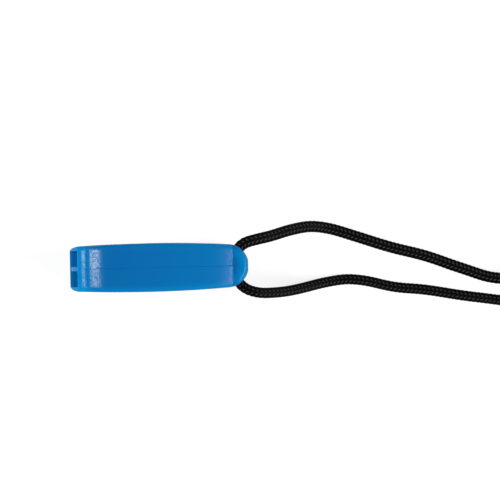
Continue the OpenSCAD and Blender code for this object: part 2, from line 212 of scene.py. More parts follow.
def smoothLine(points, step, fineLength=None, coarseStep=None):
    # a natural cubic spline through the points over their chord length, read at equal steps,
    # which are longer past fineLength if that is given
    chord = distanceAlong(points)
    gaps = np.diff(chord)
    count = len(points)
    inner = np.arange(1, count - 1)
    system = np.eye(count)
    system[inner, inner - 1] = gaps[:-1]
    system[inner, inner] = 2 * (gaps[:-1] + gaps[1:])
    system[inner, inner + 1] = gaps[1:]
    slope = np.diff(points, axis=0) / gaps[:, None]
    right = np.zeros((count, 3))
    right[1:-1] = 6 * np.diff(slope, axis=0)
    bend = np.linalg.solve(system, right)
    fine = np.linspace(0, chord[-1], count * cord["samples"])
    gap = np.clip(np.searchsorted(chord, fine, side="right") - 1, 0, count - 2)
    before = ((chord[gap + 1] - fine) / gaps[gap])[:, None]
    after = 1 - before
    bow = (before ** 3 - before) * bend[gap] + (after ** 3 - after) * bend[gap + 1]
    straight = before * points[gap] + after * points[gap + 1]
    curve = straight + bow * (gaps[gap] ** 2)[:, None] / 6
    along = distanceAlong(curve)
    if fineLength is None:
        places = np.linspace(0, along[-1], int(round(along[-1] / step)) + 1)
    else:
        rest = along[-1] - fineLength
        places = np.concatenate([
            np.arange(0, fineLength - step / 2, step),
            np.linspace(fineLength, along[-1], int(round(rest / coarseStep)) + 1)])
    return readAlong(curve, along, places)


def readAlong(line, along, places):
    # the points of a line at given ways from its start
    return np.stack([np.interp(places, along, line[:, axis]) for axis in range(3)], axis=1)


def unit(vectors):
    # each row at length 1
    return vectors / np.linalg.norm(vectors, axis=1, keepdims=True)


def braidRelief(angle, along):
    # Each column of the braid carries slanted picks; the slant changes side from column to
    # column, so that neighbouring columns make chevrons. 0 in the valleys, 1 on a pick.
    position = angle / (2 * np.pi) * cord["columns"]
    column = np.floor(position)
    across = position - column - 0.5
    width = np.pi * cord["diameter"] / cord["columns"]
    side = np.where(column % 2 == 0, 1.0, -1.0)
    phase = (along + side * cord["slant"] * across * width) / cord["pickLength"]
    pick = (0.5 + 0.5 * np.cos(2 * np.pi * phase)) ** cord["pickPower"]
    hump = np.clip(np.cos(np.pi * across), 0, 1) ** cord["humpPower"]
    return pick * hump


def braidedTube(name, line, away, sides, spread=1.0, roundEnd=0.0):
    # rings square to the line, turned from the direction away; the radius is that of the valleys
    # plus the relief of the braid; spread flattens the ring, and rounded ends close like domes
    ahead = unit(np.gradient(line, axis=0))
    out = unit(np.cross(ahead, away))
    up = np.cross(out, ahead)
    along = distanceAlong(line) / mm
    angle = np.linspace(0, 2 * np.pi, sides, endpoint=False)
    relief = braidRelief(angle[None, :] + 0 * along[:, None], along[:, None] + 0 * angle[None, :])
    radius = cord["diameter"] / 2 + cord["proud"] - cord["relief"] * (1 - relief)
    if roundEnd > 0:
        fromEnd = np.minimum(along, along[-1] - along)
        closing = np.clip(1 - fromEnd / roundEnd, 0, 1)
        dome = np.maximum(np.sqrt(1 - closing ** 2), cord["domeTip"])
        radius = radius * dome[:, None]
    radius = radius * mm
    sideways = spread * np.cos(angle)[None, :, None] * out[:, None, :]
    upwards = np.sin(angle)[None, :, None] / spread * up[:, None, :]
    points = line[:, None, :] + radius[..., None] * (sideways + upwards)
    around = angle / (2 * np.pi) * np.pi * cord["diameter"]
    uv = np.stack(np.broadcast_arrays(around[None, :], along[:, None]), axis=-1)
    faces = gridFaces(len(line), sides)
    return addPiece(name, points.reshape(-1, 3), faces, uv.reshape(-1, 2), relief.ravel())


upright = np.array([[0.0, 0.0, 1.0]])
upperLine = smoothLine(upperRoute, cord["fineStep"] * mm)
upperCord = braidedTube("upperCord", upperLine, upright, cord["sides"], cord["flattened"])
hankSteps = np.linspace(0, hank["quarters"], hank["quarters"] * hank["quarterPoints"] + 1)
lowerLine = smoothLine(np.concatenate([lowerRoute, hankPoints(hankSteps), returnRoute]),
                       cord["fineStep"] * mm, cord["fineLength"] * mm, cord["coarseStep"] * mm)
lowerCord = braidedTube("lowerCord", lowerLine, upright, cord["longSides"])
print("cords made", len(upperLine), len(lowerLine))

# The knot is wrapped round the two strands that meet in it, and its short ends lie along them.
# Lengths are in mm.
knot = {
    "middle": (111.5, -1.6, 4.9), "turnDegrees": 19.5, "wrapRadius": 3.3, "wrapStep": 3.6,
    "wraps": 3, "ease": 0.5, "endLength": 5.0, "firstDegrees": 60, "meltedEnd": 1.3, "samples": 801,
}


def knotLine():
    # a helix whose turning starts and stops slowly, while each end runs on along the strands
    ease, wraps = knot["ease"], knot["wraps"]
    way = np.linspace(0, wraps + 1, knot["samples"])
    turned = np.select(
        [way < ease, way < wraps + ease],
        [way * way / (2 * ease), way - ease / 2],
        wraps + ease - (wraps + 2 * ease - way) ** 2 / (2 * ease))
    wound = knot["wrapStep"] * (turned - (wraps + ease) / 2)
    along = wound + 2 * knot["endLength"] * (way - turned - ease / 2)
    angle = math.radians(knot["firstDegrees"]) + 2 * np.pi * turned
    outward = np.stack([0 * angle, np.cos(angle), np.sin(angle)], axis=1)
    local = along[:, None] * np.array([1.0, 0.0, 0.0]) + knot["wrapRadius"] * outward
    turnAngle = math.radians(knot["turnDegrees"])
    cosine = math.cos(turnAngle)
    sine = math.sin(turnAngle)
    turn = np.array([[cosine, -sine, 0], [sine, cosine, 0], [0, 0, 1]])
    return (local @ turn.T + np.array(knot["middle"])) * mm, outward @ turn.T


knotPath, knotOut = knotLine()
knotAlong = distanceAlong(knotPath)
knotPlaces = np.linspace(0, knotAlong[-1], int(knotAlong[-1] / (cord["fineStep"] * mm)) + 1)
cordKnot = braidedTube("cordKnot", readAlong(knotPath, knotAlong, knotPlaces),
                       readAlong(knotOut, knotAlong, knotPlaces), cord["sides"], roundEnd=knot["meltedEnd"])
print("knot made")

# The elastic tie hugs the runs of the hank at its waist.
tie = {
    "width": 3.0, "thickness": 0.7, "play": 0.3, "corner": 0.25, "steps": 360, "cornerSteps": 4,
    "waistQuarters": (0.5, 2.5, 14.5, 12.5, 8.5),   # the middles of the outer runs, which shape it
}


def tieBand():
    # round the runs: for each direction the furthest of the cord's circles, moved out by the play
    # and the thickness; across the band: a rectangle with rounded corners
    middles = hankPoints(np.array(tie["waistQuarters"]))[:, 1:] / mm
    turn = np.linspace(0, 2 * np.pi, tie["steps"], endpoint=False)
    direction = np.stack([np.cos(turn), np.sin(turn)], axis=1)
    furthest = np.argmax(direction @ middles.T, axis=1)
    inner = middles[furthest] + direction * (cord["diameter"] / 2 + tie["play"])
    cornerTurn = np.linspace(0, np.pi / 2, tie["cornerSteps"])
    halfThick = tie["thickness"] / 2
    quarterX = tie["width"] / 2 - tie["corner"] + np.cos(cornerTurn) * tie["corner"]
    quarterOut = halfThick - tie["corner"] + np.sin(cornerTurn) * tie["corner"]
    x = np.concatenate([quarterX, -quarterX[::-1], -quarterX, quarterX[::-1]])
    out = np.concatenate([quarterOut, quarterOut[::-1], -quarterOut, -quarterOut[::-1]])
    outward = inner[:, None, :] + direction[:, None, :] * (halfThick + out)[None, :, None]
    middleX = hank["nearFoldX"] + hank["run"] / 2
    lengthwise = np.broadcast_to((middleX + x)[None, :, None], outward.shape[:2] + (1,))
    return np.concatenate([lengthwise, outward], axis=2) * mm


def ringFaces(rows, columns):
    # quads of a grid that closes on itself both ways
    row, column = np.meshgrid(np.arange(rows), np.arange(columns), indexing="ij")
    start = row * columns
    nextStart = (row + 1) % rows * columns
    beside = (column + 1) % columns
    quads = np.stack([start + column, start + beside, nextStart + beside, nextStart + column], axis=-1)
    return quads.reshape(-1, 4).tolist()


band = tieBand()
hankTie = addPiece("hankTie", band.reshape(-1, 3), ringFaces(*band.shape[:2]))
print("tie made")

# The moulded shells, in mm and degrees

shell = {
    "length": 50.0, "width": 24.0, "thickness": 13.6,
    # the wide faces: highest at the crown, falling to the mouth and the rear, bowed a little across
    "crown": 22.5, "frontFall": 0.6, "rearFall": 0.8, "fallEnd": 45.2, "crossCrown": 0.1, "draft": 0.1,
    # half the width of the V of the seam at places along the length; it is as deep as that
    "seamPlaces": (9.0, 12.0, 33.0, 38.0, 45.7, 45.8), "seams": (0.08, 0.05, 0.05, 0.12, 0.12, 0.02),
    # the long edges turn gently first and then tightly, over at most this share of the half section
    "gentleRadius": 2.0, "gentleDegrees": 42, "tightRadius": 0.35, "roundingShare": 0.6,
    # the mouth
    "neckWidth": 21.2, "mouthRadius": 17.05, "mouthRoundLength": 3.4, "mouthRoundHeight": 1.9,
    "mouthOpen": 0.1, "lipLean": 0.12,
    # from the lip over the bite ridge and the groove to the flare
    "lip": 3.8, "ridgeEnd": 5.0, "ridgePower": 1.4, "ridgeHeight": 0.37, "ridgeTop": 0.1,
    "ridgeBack": 0.25, "groove": 0.9, "flare": 4.9,
    # the rear slope and the lug with its hole, its blunt nose and its rounded rim
    "shoulder": 9.2, "shoulderIn": 1.5, "lug": 4.35, "lugWidth": 8.4, "lugFoot": 0.08, "step": 0.06,
    "holeRadius": 2.25, "tipWall": 1.1, "nose": 5.2, "blunt": 0.93, "bluntPower": 2.1,
    "rim": 1.4, "sideRimDepth": 0.9, "tipRimDepth": 2.3, "tipRimReach": 2.4, "tipRimFade": 1.4,
    # walls, chambers and voicing
    "roofWall": 1.9, "lipWall": 1.3, "sideWall": 1.6, "upperBack": 12.0, "lowerBack": 14.3,
    "windway": 13.0, "windwayTaper": 10.1, "window": 4.5, "windowWidth": 17.2, "edgeDrop": 0.5,
    "edgeThickness": 0.2, "under": 3.0, "bevelDegrees": 28.0,
    # the seat of the core
    "septum": 1.15, "ledge": 0.4, "seatPlay": 0.05, "seatEnd": 39.5, "seatOverlap": 0.5,
}
halfWidth = shell["width"] / 2
halfThickness = shell["thickness"] / 2
neck = shell["neckWidth"] / 2
roof = halfThickness - shell["roofWall"]
slotHalf = neck - shell["lipWall"]
chamberHalf = halfWidth - shell["sideWall"]
windowEnd = shell["windway"] + shell["window"]
crestEnd = shell["ridgeEnd"] + shell["ridgeTop"]
grooveStart = crestEnd + shell["ridgeBack"]
flareStart = grooveStart + shell["groove"]
fullStart = flareStart + shell["flare"]
rearEnd = shell["length"] - shell["lug"]
stepEnd = rearEnd + shell["step"]
shoulderStart = rearEnd - shell["shoulder"]
tipStart = shell["length"] - shell["rim"]
noseStart = shell["length"] - shell["nose"]
holePlace = shell["length"] - shell["tipWall"] - shell["holeRadius"]

# How closely the shells are sampled: counts of sections or points, distances in mm, and the angle
# from which an edge stays sharp
sampling = {
    "lead": 0.1, "mouthSections": 26, "frontFrom": 2.8, "frontTo": 6.4, "frontSections": 37,
    "bodyFrom": 6.6, "bodyStep": 0.25, "footSections": 9, "lugFrom": 0.1, "lugStep": 0.2,
    "rimSections": 26, "apart": 0.03, "gentlePoints": 8, "tightPoints": 7, "sidePoints": 8,
    "acrossPoints": 21, "mouthPoints": 121, "holePoints": 96, "sharpDegrees": 24,
}
overrun = 1.0       # mm by which a cutter reaches past what it cuts
throughHalf = 30.0  # half the length of a cutter that goes right through the thickness
tiny = 0.01         # mm, for cutters that meet and against division by zero


def shareOf(s, start, length):
    # s is the place along the whistle in mm from the front of the lips, here and in what follows;
    # the share is 0 before start, 1 past start + length and straight between them
    return np.clip((s - start) / length, 0, 1)


def eased(share):
    # 0 to 1 with a level start and end
    return share * share * (3 - 2 * share)


def bluntShare(s):
    # 0 before the nose of the lug, rising to a little under 1 at its flat tip
    return shell["blunt"] * np.clip((s - noseStart) / shell["nose"], 0, None) ** shell["bluntPower"]


def halfWidthAt(s):
    # half the width, the outline of a wide face: lip, bite ridge, groove, flare, straight side and
    # shoulder; then a step down to the lug, which has a hollow fillet at its foot
    lugHalf = shell["lugWidth"] / 2
    rearHalf = halfWidth - shell["shoulderIn"]
    ramp = shareOf(s, shell["lip"], shell["ridgeEnd"] - shell["lip"]) ** shell["ridgePower"]
    fall = 0.5 + 0.5 * np.cos(np.pi * shareOf(s, crestEnd, shell["ridgeBack"]))
    front = neck + shell["ridgeHeight"] * np.where(s < crestEnd, ramp, fall)
    flare = shareOf(s, flareStart, shell["flare"])
    shoulder = shareOf(s, shoulderStart, shell["shoulder"])
    body = neck + (halfWidth - neck) * flare * (2 - flare) - shell["shoulderIn"] * shoulder ** 2
    foot = shareOf(s, stepEnd, shell["lugFoot"])
    lug = lugHalf + shell["lugFoot"] * (1 - np.sqrt(1 - (1 - foot) ** 2))
    step = rearHalf + (lugHalf + shell["lugFoot"] - rearHalf) * shareOf(s, rearEnd, shell["step"])
    return np.select([s < flareStart, s <= rearEnd, s < stepEnd], [front, body, step], lug)


def bodyThicknessAt(s):
    # half the thickness: a parabola on each side of the crown and a rounded mouth
    fall = np.where(
        s < shell["crown"],
        shell["frontFall"] * ((shell["crown"] - s) / shell["crown"]) ** 2,
        shell["rearFall"] * ((s - shell["crown"]) / (shell["fallEnd"] - shell["crown"])) ** 2)
    toMouth = np.clip((shell["mouthRoundLength"] - s) / shell["mouthRoundLength"], 0, 1)
    mouthFall = shell["mouthRoundHeight"] * (1 - np.sqrt(1 - toMouth * toMouth))
    return halfThickness - fall - mouthFall


def halfThicknessAt(s):
    # the same, closing round the nose of the lug
    return bodyThicknessAt(s) * np.sqrt(1 - bluntShare(s))


def rimShare(s, y):
    # 0 in the middle of the lug and 1 on its outline, by the outline's own formula
    return (y / bodyThicknessAt(s)) ** 2 + bluntShare(s)


def rimDrop(s, y):
    # the rounded rim of the lug: a quarter of an ellipse over the distance from the outline, which
    # is the share left to it over the share's slope; it is deepest at the tip
    lengthwise = bluntShare(s) * shell["bluntPower"] / np.maximum(s - noseStart, tiny)
    slope = np.hypot(2 * y / bodyThicknessAt(s) ** 2, lengthwise)
    inward = np.clip((1 - rimShare(s, y)) / np.maximum(slope, tiny) / shell["rim"], 0, 1)
    tip = eased(shareOf(s, shell["length"] - shell["tipRimReach"], shell["tipRimFade"]))
    depth = shell["sideRimDepth"] + (shell["tipRimDepth"] - shell["sideRimDepth"]) * tip
    return depth * (1 - np.sqrt(1 - (1 - inward) ** 2))


def loftStations():
    # places of the sections: all named edges, and between them as close as the form there needs
    edges = np.array([shell["lip"], shell["ridgeEnd"], crestEnd, grooveStart, flareStart, fullStart,
                      shoulderStart, rearEnd, stepEnd, tipStart])
    footEnd = stepEnd + shell["lugFoot"]
    quarter = np.pi / 2
    plain = np.concatenate([
        np.linspace(-sampling["lead"], shell["mouthRoundLength"], sampling["mouthSections"]),
        np.linspace(sampling["frontFrom"], sampling["frontTo"], sampling["frontSections"]),
        np.arange(sampling["bodyFrom"], rearEnd, sampling["bodyStep"]),
        footEnd - shell["lugFoot"] * np.cos(np.linspace(0, quarter, sampling["footSections"])),
        np.arange(footEnd + sampling["lugFrom"], tipStart, sampling["lugStep"]),
        tipStart + shell["rim"] * np.sin(np.linspace(0, quarter, sampling["rimSections"]))])
    plain = plain[np.abs(plain[:, None] - edges[None, :]).min(1) > sampling["apart"]]
    return np.unique(np.concatenate([plain, edges]))


def longEdge():
    # the rounding between a narrow side and a wide face, turned from flat to upright: gentle at
    # first, then tight; how far it runs along the thickness and how far it drops
    gentle = math.radians(shell["gentleDegrees"])
    turn = np.concatenate([np.linspace(0, gentle, sampling["gentlePoints"]),
                           np.linspace(gentle, np.pi / 2, sampling["tightPoints"])[1:]])
    soft = np.minimum(turn, gentle)
    hard = np.maximum(turn, gentle)
    softRun = shell["gentleRadius"] * np.sin(soft)
    softDrop = shell["gentleRadius"] * (1 - np.cos(soft))
    hardRun = shell["tightRadius"] * (np.sin(hard) - math.sin(gentle))
    hardDrop = shell["tightRadius"] * (math.cos(gentle) - np.cos(hard))
    return softRun + hardRun, softDrop + hardDrop


def halfLoft(name, side):
    # sections from the seam on one side over the wide face to the seam on the other side: the V of
    # the seam, the narrow side, the rounded edge, the bowed wide face, and the same back again
    s = loftStations()
    wide = halfWidthAt(s)
    crown = shell["crossCrown"] * wide / halfWidth * np.sqrt(1 - bluntShare(s))
    thick = halfThicknessAt(s) - crown
    roundRun, roundDrop = longEdge()
    fitted = np.minimum(1.0, shell["roundingShare"] * np.minimum(thick, wide) / roundRun[-1])
    seam = np.interp(s, shell["seamPlaces"], shell["seams"])
    onLug = s > stepEnd
    start = (thick - fitted * roundRun[-1])[:, None]
    between = seam[:, None] + (start - seam[:, None]) * np.linspace(0, 1, sampling["sidePoints"])[1:-1]
    nearY = np.concatenate([between, start + fitted[:, None] * roundRun], axis=1)
    drop = np.concatenate([0 * between, fitted[:, None] * roundDrop], axis=1)
    drop = np.where(onLug[:, None], rimDrop(s[:, None], nearY), drop)
    seamDrop = np.where(onLug, rimDrop(s, seam), 0)
    wide = wide - seamDrop
    nearZ = -wide[:, None] + drop - seamDrop[:, None]
    across = np.linspace(-1, 1, sampling["acrossPoints"])[1:-1]
    crownY = thick[:, None] + crown[:, None] * (1 - across ** 2)
    crownZ = -nearZ[:, -1:] * across
    seamY = np.stack([0 * s, seam], 1)
    seamZ = np.stack([wide - seam, wide], 1)
    y = np.concatenate([seamY, nearY, crownY, nearY[:, ::-1], seamY[:, ::-1]], axis=1)
    z = np.concatenate([-seamZ, nearZ, crownZ, -nearZ[:, ::-1], seamZ[:, ::-1]], axis=1)
    z = z * (1 - shell["draft"] / halfWidth * y / halfThickness)
    x = np.broadcast_to(s[:, None], y.shape)
    points = np.stack([x - shell["length"] / 2, side * y, z + halfWidth], axis=2) * mm
    if side < 0:
        points = points[:, ::-1]
    faces = [face[::-1] for face in gridFaces(len(s), y.shape[1])]
    return addPiece(name, points.reshape(-1, 3), faces)


def signedVolume(piece):
    # the sum over all triangles of the volume that each spans with the origin
    data = piece.data
    data.calc_loop_triangles()
    corners = np.empty(len(data.loop_triangles) * 3, dtype=np.int32)
    data.loop_triangles.foreach_get("vertices", corners)
    place = np.empty(len(data.vertices) * 3)
    data.vertices.foreach_get("co", place)
    ends = place.reshape(-1, 3)[corners.reshape(-1, 3)]
    return np.einsum("ij,ij->i", ends[:, 0], np.cross(ends[:, 1], ends[:, 2])).sum() / 6


def cutterFrom(rings):
    # a closed body between two outlines given in mm, with its faces turned outwards
    cutter = addPiece("cutter", rings.reshape(-1, 3) * mm, gridFaces(*rings.shape[:2]))
    if signedVolume(cutter) < 0:
        cutter.data.flip_normals()
    return cutter


def acrossCutter(outline, half, side):
    # an outline in length and thickness, carried across the width from -half to half
    outline = np.array(outline)
    x = outline[:, 0] - shell["length"] / 2
    y = side * outline[:, 1]
    return cutterFrom(np.stack([
        np.stack([x, y, 0 * x + halfWidth - half], axis=1),
        np.stack([x, y, 0 * x + halfWidth + half], axis=1)]))


def throughCutter(outline):
    # an outline in length and width, carried through the thickness
    x = outline[:, 0] - shell["length"] / 2
    z = outline[:, 1] + halfWidth
    return cutterFrom(np.stack([
        np.stack([x, 0 * x - throughHalf, z], axis=1),
        np.stack([x, 0 * x + throughHalf, z], axis=1)]))


def holeCutter():
    # a circle for the hole of the lug
    turn = np.linspace(0, 2 * np.pi, sampling["holePoints"], endpoint=False)
    circle = shell["holeRadius"] * np.stack([np.cos(turn), np.sin(turn)], axis=1)
    return throughCutter(circle + np.array([holePlace, 0.0]))


def mouthCutter():
    # everything in front of the curved mouth: a block whose rear side is an arc over the slots and
    # nearly straight over the lips
    reach = halfWidth + 2 * overrun
    z = np.concatenate([[-reach], np.linspace(-slotHalf, slotHalf, sampling["mouthPoints"]), [reach]])
    bow = np.minimum(np.abs(z), slotHalf)
    arc = shell["mouthRadius"] - np.sqrt(shell["mouthRadius"] ** 2 - bow ** 2)
    arc = arc + shell["lipLean"] * (np.abs(z) - bow)
    front = [[-2 * overrun, reach], [-2 * overrun, -reach]]
    return throughCutter(np.concatenate([np.stack([arc, z], 1), front]))


def cut(piece, cutters):
    # takes each cutter away from the piece, then marks the edges that stay sharp
    for cutter in cutters:
        modifier = piece.modifiers.new("cut", "BOOLEAN")
        modifier.operation = "DIFFERENCE"
        modifier.solver = "MANIFOLD"
        modifier.object = cutter
        view = bpy.context.evaluated_depsgraph_get()
        remaining = bpy.data.meshes.new_from_object(piece.evaluated_get(view))
        piece.modifiers.clear()
        piece.data = remaining
        bpy.data.objects.remove(cutter)
    piece.data.polygons.foreach_set("use_smooth", np.ones(len(piece.data.polygons), dtype=bool))
    piece.data.set_sharp_from_angle(angle=math.radians(sampling["sharpDegrees"]))


def cutShell(piece, side, chamberEnd):
    # mouth, windway, chamber with its sounding edge, window, seat of the core and hole
    outside = halfThickness + overrun
    mouthRoof = roof + shell["mouthOpen"]
    edgeTop = roof - shell["edgeDrop"] + shell["edgeThickness"]
    bevelEnd = windowEnd + (outside - edgeTop) / math.tan(math.radians(shell["bevelDegrees"]))
    windwayEnd = shell["windway"]
    seat = shell["septum"] / 2
    seatStart = windwayEnd - shell["seatOverlap"]
    seatExtra = shell["ledge"] + shell["seatPlay"]
    windway = [(-overrun, -overrun), (-overrun, mouthRoof), (0, mouthRoof), (shell["windwayTaper"], roof),
               (windwayEnd + tiny, roof), (windwayEnd + tiny, -overrun)]
    chamber = [(windwayEnd, -overrun), (windwayEnd, roof), (windowEnd, roof),
               (windowEnd, roof - shell["edgeDrop"]), (windowEnd + shell["under"], roof),
               (chamberEnd, roof), (chamberEnd, -overrun)]
    window = [(windwayEnd, edgeTop), (windwayEnd, outside), (bevelEnd, outside), (windowEnd, edgeTop)]
    frontSeat = [(-overrun, -overrun), (-overrun, seat), (windwayEnd, seat), (windwayEnd, -overrun)]
    rearSeat = [(seatStart, -overrun), (seatStart, seat), (shell["seatEnd"], seat),
                (shell["seatEnd"], -overrun)]
    cut(piece, [
        mouthCutter(),
        acrossCutter(windway, slotHalf, side),
        acrossCutter(chamber, chamberHalf, side),
        acrossCutter(window, shell["windowWidth"] / 2, side),
        acrossCutter(frontSeat, slotHalf + seatExtra, side),
        acrossCutter(rearSeat, chamberHalf + seatExtra, side),
        holeCutter(),
    ])


# Painted light: a lighter cyan painted into the colour where light would come through the plastic, 1 is
# lightest. Most of it is at the lips and towards the rim of the lug, a little along the two long edges and
# towards the rear; the lug is painted darker, as shade, at its foot under the step and on its outermost rim.
paintedLight = {
    "places": [3.0, 3.2, 4.0, 4.6, 5.3, 6.4, 7.6, 9.2, 10.5, 14.0, 22.0, 33.0, 40.0, 45.6],
    "shares": [1.0, 0.52, 0.55, 0.7, 0.4, 0.3, 0.2, 0.08, 0.02, 0.0, 0.05, 0.11, 0.16, 0.19],
    # the long edges are painted lighter, the lower one more, as light from that side would light it
    "upperEdge": 0.18, "lowerEdge": 0.42, "edgeFrom": 0.7, "edgeOver": 0.25,
    # painted light on the lug, with painted shade on its outermost rim and at its foot under the step; the
    # walls inside the mouth are painted fully light
    "rimReach": 0.48, "rimPower": 0.55, "rimFade": 0.6, "rimFadeFrom": 0.6, "rimFadeOver": 0.2,
    "footShare": 0.5, "footLength": 2.0, "inside": 0.1, "mouthInside": 1.0, "mouthLength": 3.2,
}


def markPaintedLight(piece):
    # writes the share of painted light of each point: by tables along the body, with the long edges lighter
    # and the lower one more; by the outline's formula on the lug, with painted shade at its foot under the
    # step and on its outermost rim; and evenly on the walls of the windway and the mouth
    data = piece.data
    place = np.empty(len(data.vertices) * 3)
    data.vertices.foreach_get("co", place)
    x, y, z = place.reshape(-1, 3).T / mm
    s = x + shell["length"] / 2
    up = z - halfWidth
    edge = eased(shareOf(np.abs(y) / bodyThicknessAt(s), paintedLight["edgeFrom"], paintedLight["edgeOver"]))
    paintedEdgeLight = np.where(y < 0, paintedLight["lowerEdge"], paintedLight["upperEdge"]) * edge
    body = np.interp(s, paintedLight["places"], paintedLight["shares"]) + paintedEdgeLight
    rim = rimShare(s, y)
    fade = 1 - paintedLight["rimFade"] * shareOf(rim, paintedLight["rimFadeFrom"], paintedLight["rimFadeOver"])
    foot = paintedLight["footShare"] + (1 - paintedLight["footShare"]) * shareOf(s, rearEnd, paintedLight["footLength"])
    lug = np.clip(rim / paintedLight["rimReach"], 0, 1) ** paintedLight["rimPower"] * fade * foot
    share = np.clip(np.where(s > stepEnd - tiny, lug, body), 0, 1)
    underRoof = np.abs(y) < roof + shell["mouthOpen"] + tiny
    betweenSides = np.abs(up) < slotHalf + tiny
    inner = np.where(s < paintedLight["mouthLength"], paintedLight["mouthInside"], paintedLight["inside"])
    share = np.where((s < windowEnd) & underRoof & betweenSides, inner, share)
    data.attributes.new("paintedLight", "FLOAT", "POINT").data.foreach_set("value", share)


upperShell = halfLoft("upperShell", 1)
lowerShell = halfLoft("lowerShell", -1)
cutShell(upperShell, 1, shell["length"] - shell["upperBack"])
cutShell(lowerShell, -1, shell["length"] - shell["lowerBack"])
markPaintedLight(upperShell)
markPaintedLight(lowerShell)
print("shells made", len(upperShell.data.polygons), len(lowerShell.data.polygons))

# Materials

# ABS, injection moulded in a spark-finished mould: blue, with painted light in a lighter cyan at the lips,
# the lug and the long edges, a soft broad gloss and a fine grain that mottles the highlights on the flare and
# the rear slope. The real grain is finer than the render can show, so it is drawn at half a millimetre.
blueAbs = {
    "colour": "#0062a3", "paintedLightColour": "#0091d4", "ior": 1.53, "roughness": 0.26, "uneven": 0.02,
    "reflection": 0.36, "coreReflection": 0.14,
    "paintedLightDulling": 0.7,                            # how much weaker the gloss is where the most light is painted
    "grain": 0.5, "grainDepth": 0.013,             # mm
    "glossSpread": 0.65, "glossFrom": 0.35, "glossTo": 0.65,   # over these values of the grain's noise
    "round": 0.03, "roundSamples": 6,              # the finest rounding of sharp edges, in mm
    "cloud": 9.0, "cloudShare": 0.06,
}
# Painted light on the core: the rib at its front is painted lighter at its front edge, fading over its first
# millimetres, and the wall between the chambers is painted lighter at its front.
corePaintedLight = {
    "stopsLength": 10.0, "stops": ((0.04, "#008ace"), (0.11, "#0073c4"), (0.3, "#006fbe"), (0.7, "#006aae")),
    "paintedWallLight": "#008cda", "wallHalf": 0.6, "wallEdge": 0.1, "wallStart": 0.7, "wallRise": 0.2,
    "wallFade": (4.0, 7.0),
}


def shellTintAndPaintedLight(tree, place):
    # from the plain blue to a lighter cyan by the share of painted light on each point, which stands for
    # light coming through thin plastic and lighting its edges, with a faint cloudiness; inputs 6 and 7 of a
    # Mix node are its two colours
    cloud = addNode(tree, "ShaderNodeTexNoise", {"Vector": place.outputs["Object"]},
                    Scale=1 / (blueAbs["cloud"] * mm), Detail=2.0)
    share = addNode(tree, "ShaderNodeAttribute", attribute_name="paintedLight")
    cloudy = addNode(tree, "ShaderNodeMath", {0: cloud.outputs["Fac"], 2: share.outputs["Fac"]},
                     operation="MULTIPLY_ADD", use_clamp=True)
    cloudy.inputs[1].default_value = blueAbs["cloudShare"]
    mix = addNode(tree, "ShaderNodeMix", {"Factor": cloudy.outputs[0]}, data_type="RGBA")
    mix.inputs[6].default_value = linear(blueAbs["colour"])
    mix.inputs[7].default_value = linear(blueAbs["paintedLightColour"])
    return mix.outputs[2]


def corePaintedLightTint(tree, place):
    # painted light: stops along the length for the rib; the wall is known by its distance from the middle
    # plane, and its painted light starts a little behind its front end and fades out along the length
    front = -shell["length"] / 2
    parts = addNode(tree, "ShaderNodeSeparateXYZ", {"Vector": place.outputs["Object"]})
    along = addNode(tree, "ShaderNodeMapRange", {"Value": parts.outputs["X"]},
                    From_Min=front * mm, From_Max=(front + corePaintedLight["stopsLength"]) * mm)
    rib = addNode(tree, "ShaderNodeValToRGB", {"Fac": along.outputs["Result"]})
    for position, _ in corePaintedLight["stops"][2:]:
        rib.color_ramp.elements.new(position)
    for element, (position, colour) in zip(rib.color_ramp.elements, corePaintedLight["stops"]):
        element.position = position
        element.color = linear(colour)
    apart = addNode(tree, "ShaderNodeMath", {0: parts.outputs["Y"]}, operation="ABSOLUTE")
    near = addNode(tree, "ShaderNodeMapRange", {"Value": apart.outputs[0]},
                   From_Min=corePaintedLight["wallHalf"] * mm,
                   From_Max=(corePaintedLight["wallHalf"] + corePaintedLight["wallEdge"]) * mm, To_Min=1.0, To_Max=0.0)
    fadeStart, fadeEnd = corePaintedLight["wallFade"]
    early = addNode(tree, "ShaderNodeMapRange", {"Value": parts.outputs["X"]},
                    From_Min=(front + fadeStart) * mm, From_Max=(front + fadeEnd) * mm,
                    To_Min=1.0, To_Max=0.0)
    wallStart = front + corePaintedLight["wallStart"]
    behind = addNode(tree, "ShaderNodeMapRange", {"Value": parts.outputs["X"]},
                     From_Min=wallStart * mm, From_Max=(wallStart + corePaintedLight["wallRise"]) * mm)
    wall = addNode(tree, "ShaderNodeMath", {0: near.outputs["Result"], 1: early.outputs["Result"]},
                   operation="MULTIPLY")
    wall = addNode(tree, "ShaderNodeMath", {0: wall.outputs[0], 1: behind.outputs["Result"]},
                   operation="MULTIPLY")
    mix = addNode(tree, "ShaderNodeMix", {"Factor": wall.outputs[0], 6: rib.outputs["Color"]},
                  data_type="RGBA")
    mix.inputs[7].default_value = linear(corePaintedLight["paintedWallLight"])
    return mix.outputs[2]


